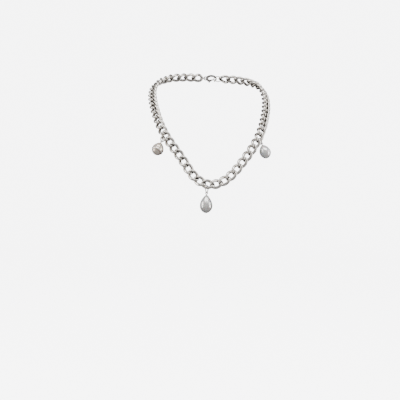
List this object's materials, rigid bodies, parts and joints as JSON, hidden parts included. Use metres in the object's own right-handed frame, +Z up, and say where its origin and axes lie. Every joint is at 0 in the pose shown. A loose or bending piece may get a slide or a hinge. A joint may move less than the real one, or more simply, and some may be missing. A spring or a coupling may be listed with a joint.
{
  "type": "pendant necklace",
  "caption": "Silver curb-link necklace in its worn drape, with baroque pearl drops on wire rings and a sprung claw clasp.",
  "frame": {"origin": "the point at the nape where the back of the neck carries the chain", "axes": "+Z up, -Y the way the wearer faces, +X on the right of someone looking at the wearer"},
  "size_m": [0.1325, 0.1536, 0.1573],
  "materials": {
    "chain_silver": "polished sterling silver, worn bright on the crowns of the wire and darkened in the recesses",
    "ring_silver": "polished silver wire, lightly darkened",
    "clasp_silver": "cast silver, polished, lightly darkened in its corners",
    "spring_steel": "plain rolled spring steel",
    "silver_white_pearl": "baroque nacre, silvery white with soft grey and brown mottling low down, satin gloss",
    "champagne_pearl": "baroque nacre, warm champagne with a pale curved ridge, satin gloss",
    "cool_grey_pearl": "baroque nacre, cool grey-white, soft satin"
  },
  "bodies": {
    "nape": {"left_nape_chain": "chain_silver", "right_nape_chain": "chain_silver", "clasp_tail_ring": "ring_silver", "clasp_hook_ring": "ring_silver"},
    "claw": {"clasp_claw": "clasp_silver", "clasp_rivet": "clasp_silver", "clasp_spring": "spring_steel"},
    "lever": {"clasp_lever": "clasp_silver"},
    "links_21": {"left_link_21": "chain_silver", "right_link_21": "chain_silver"},
    "links_20": {"left_link_20": "chain_silver", "right_link_20": "chain_silver"},
    "links_19": {"left_link_19": "chain_silver", "right_link_19": "chain_silver"},
    "links_18": {"left_link_18": "chain_silver", "right_link_18": "chain_silver"},
    "links_17": {"left_link_17": "chain_silver", "right_link_17": "chain_silver"},
    "links_16": {"left_link_16": "chain_silver", "right_link_16": "chain_silver"},
    "links_15": {"left_link_15": "chain_silver", "right_link_15": "chain_silver"},
    "links_14": {"left_link_14": "chain_silver", "right_link_14": "chain_silver"},
    "links_13": {"left_link_13": "chain_silver", "right_link_13": "chain_silver"},
    "links_12": {"left_link_12": "chain_silver", "right_link_12": "chain_silver"},
    "links_11": {"left_link_11": "chain_silver", "right_link_11": "chain_silver"},
    "links_10": {"left_link_10": "chain_silver", "right_link_10": "chain_silver"},
    "links_09": {"left_link_09": "chain_silver", "right_link_09": "chain_silver"},
    "links_08": {"left_link_08": "chain_silver", "right_link_08": "chain_silver"},
    "links_07": {"left_link_07": "chain_silver", "right_link_07": "chain_silver"},
    "links_06": {"left_link_06": "chain_silver", "right_link_06": "chain_silver"},
    "links_05": {"left_link_05": "chain_silver", "right_link_05": "chain_silver"},
    "links_04": {"left_link_04": "chain_silver", "right_link_04": "chain_silver"},
    "links_03": {"left_link_03": "chain_silver", "right_link_03": "chain_silver"},
    "links_02": {"left_link_02": "chain_silver", "right_link_02": "chain_silver"},
    "links_01": {"left_link_01": "chain_silver", "right_link_01": "chain_silver"},
    "front": {"front_link": "chain_silver"},
    "centre_ring": {"centre_pendant_ring": "ring_silver"},
    "centre_drop": {"centre_eye_pin": "ring_silver", "centre_pearl": "silver_white_pearl"},
    "left_ring": {"left_pendant_ring": "ring_silver"},
    "left_drop": {"left_eye_pin": "ring_silver", "left_pearl": "champagne_pearl"},
    "right_ring": {"right_pendant_ring": "ring_silver"},
    "right_drop": {"right_eye_pin": "ring_silver", "right_pearl": "cool_grey_pearl"}
  },
  "joints": [
    {"name": "links_21_bend", "type": "hinge", "parent": "nape", "child": "links_21", "pos_m": [-0.00376, -0.02522, -0.00768], "axis": [-0.9996, 0.0224, 0.0194], "range_deg": [0, 5]},
    {"name": "links_20_bend", "type": "hinge", "parent": "links_21", "child": "links_20", "pos_m": [-0.00423, -0.03264, -0.01123], "axis": [-0.9995, 0.0247, 0.0186], "range_deg": [0, 5]},
    {"name": "links_19_bend", "type": "hinge", "parent": "links_20", "child": "links_19", "pos_m": [-0.00442, -0.04023, -0.01528], "axis": [-0.9995, 0.0237, 0.0196], "range_deg": [0, 5]},
    {"name": "links_18_bend", "type": "hinge", "parent": "links_19", "child": "links_18", "pos_m": [-0.00431, -0.04782, -0.01972], "axis": [-0.9995, 0.0211, 0.0223], "range_deg": [0, 5]},
    {"name": "links_17_bend", "type": "hinge", "parent": "links_18", "child": "links_17", "pos_m": [-0.00403, -0.05535, -0.02441], "axis": [-0.9995, 0.0183, 0.0257], "range_deg": [0, 5]},
    {"name": "links_16_bend", "type": "hinge", "parent": "links_17", "child": "links_16", "pos_m": [-0.00369, -0.06281, -0.02925], "axis": [-0.9995, 0.0166, 0.0286], "range_deg": [0, 5]},
    {"name": "links_15_bend", "type": "hinge", "parent": "links_16", "child": "links_15", "pos_m": [-0.00337, -0.0702, -0.03416], "axis": [-0.9994, 0.0164, 0.03], "range_deg": [0, 5]},
    {"name": "links_14_bend", "type": "hinge", "parent": "links_15", "child": "links_14", "pos_m": [-0.00306, -0.07749, -0.03916], "axis": [-0.9994, 0.0176, 0.0301], "range_deg": [0, 5]},
    {"name": "links_13_bend", "type": "hinge", "parent": "links_14", "child": "links_13", "pos_m": [-0.00274, -0.08464, -0.04428], "axis": [-0.9994, 0.0198, 0.0297], "range_deg": [0, 5]},
    {"name": "links_12_bend", "type": "hinge", "parent": "links_13", "child": "links_12", "pos_m": [-0.00238, -0.09162, -0.04958], "axis": [-0.9993, 0.0226, 0.0292], "range_deg": [0, 5]},
    {"name": "links_11_bend", "type": "hinge", "parent": "links_12", "child": "links_11", "pos_m": [-0.00202, -0.0984, -0.05509], "axis": [-0.9992, 0.0255, 0.0294], "range_deg": [0, 5]},
    {"name": "links_10_bend", "type": "hinge", "parent": "links_11", "child": "links_10", "pos_m": [-0.00167, -0.10488, -0.06084], "axis": [-0.9991, 0.0281, 0.0309], "range_deg": [0, 5]},
    {"name": "links_09_bend", "type": "hinge", "parent": "links_10", "child": "links_09", "pos_m": [-0.00136, -0.11094, -0.06686], "axis": [-0.999, 0.0299, 0.0344], "range_deg": [0, 5]},
    {"name": "links_08_bend", "type": "hinge", "parent": "links_09", "child": "links_08", "pos_m": [-0.00112, -0.11639, -0.07316], "axis": [-0.9987, 0.0301, 0.0406], "range_deg": [0, 5]},
    {"name": "links_07_bend", "type": "hinge", "parent": "links_08", "child": "links_07", "pos_m": [-0.00093, -0.12103, -0.07968], "axis": [-0.9983, 0.0277, 0.0503], "range_deg": [0, 5]},
    {"name": "links_06_bend", "type": "hinge", "parent": "links_07", "child": "links_06", "pos_m": [-0.00072, -0.12483, -0.08631], "axis": [-0.9977, 0.0243, 0.0636], "range_deg": [0, 5]},
    {"name": "links_05_bend", "type": "hinge", "parent": "links_06", "child": "links_05", "pos_m": [-0.00053, -0.12794, -0.09301], "axis": [-0.9966, 0.0208, 0.0797], "range_deg": [0, 5]},
    {"name": "links_04_bend", "type": "hinge", "parent": "links_05", "child": "links_04", "pos_m": [-0.00047, -0.13056, -0.09981], "axis": [-0.9951, 0.0177, 0.0974], "range_deg": [0, 5]},
    {"name": "links_03_bend", "type": "hinge", "parent": "links_04", "child": "links_03", "pos_m": [-0.00066, -0.13286, -0.10675], "axis": [-0.9934, 0.0163, 0.1136], "range_deg": [0, 5]},
    {"name": "links_02_bend", "type": "hinge", "parent": "links_03", "child": "links_02", "pos_m": [-0.00121, -0.13495, -0.11344], "axis": [-0.9922, 0.0173, 0.1238], "range_deg": [0, 3]},
    {"name": "links_01_bend", "type": "hinge", "parent": "links_02", "child": "links_01", "pos_m": [-0.00189, -0.13687, -0.11904], "axis": [-0.9917, 0.0207, 0.1273], "range_deg": [0, 2]},
    {"name": "front_bend", "type": "hinge", "parent": "links_01", "child": "front", "pos_m": [-0.00236, -0.13832, -0.12251], "axis": [-0.9914, 0.0236, 0.1288], "range_deg": [0, 1.5]},
    {"name": "centre_ring_lift", "type": "hinge", "parent": "front", "child": "centre_ring", "pos_m": [-0.00337, -0.13896, -0.12624], "axis": [-1, 0, 0], "range_deg": [0, 60]},
    {"name": "centre_pearl_swing", "type": "hinge", "parent": "centre_ring", "child": "centre_drop", "pos_m": [-0.00337, -0.13984, -0.13131], "axis": [0, 0.9854, -0.1701], "range_deg": [-12, 12]},
    {"name": "left_ring_lift", "type": "hinge", "parent": "links_08", "child": "left_ring", "pos_m": [-0.04984, -0.11806, -0.07706], "axis": [-0.6402, 0.7682, 0], "range_deg": [0, 60]},
    {"name": "left_pearl_swing", "type": "hinge", "parent": "left_ring", "child": "left_drop", "pos_m": [-0.0511, -0.11911, -0.08015], "axis": [0.6781, 0.5651, -0.47], "range_deg": [-25, 25]},
    {"name": "right_ring_lift", "type": "hinge", "parent": "links_09", "child": "right_ring", "pos_m": [0.05019, -0.11502, -0.07555], "axis": [-0.6402, -0.7682, 0], "range_deg": [0, 60]},
    {"name": "right_pearl_swing", "type": "hinge", "parent": "right_ring", "child": "right_drop", "pos_m": [0.05146, -0.11607, -0.07864], "axis": [-0.6781, 0.5651, -0.47], "range_deg": [-25, 20]},
    {"name": "claw_roll", "type": "hinge", "parent": "nape", "child": "claw", "pos_m": [-0.00306, 0.00149, 0.00135], "axis": [0.9992, 0.0365, -0.0131], "range_deg": [0, 15]},
    {"name": "lever_press", "type": "hinge", "parent": "claw", "child": "lever", "pos_m": [-0.00444, 0.00284, -0.00094], "axis": [0.0245, -0.8551, -0.5178], "range_deg": [0, 22], "stiffness_Nm_per_rad": 0.002, "springref_deg": -11.46}
  ]
}
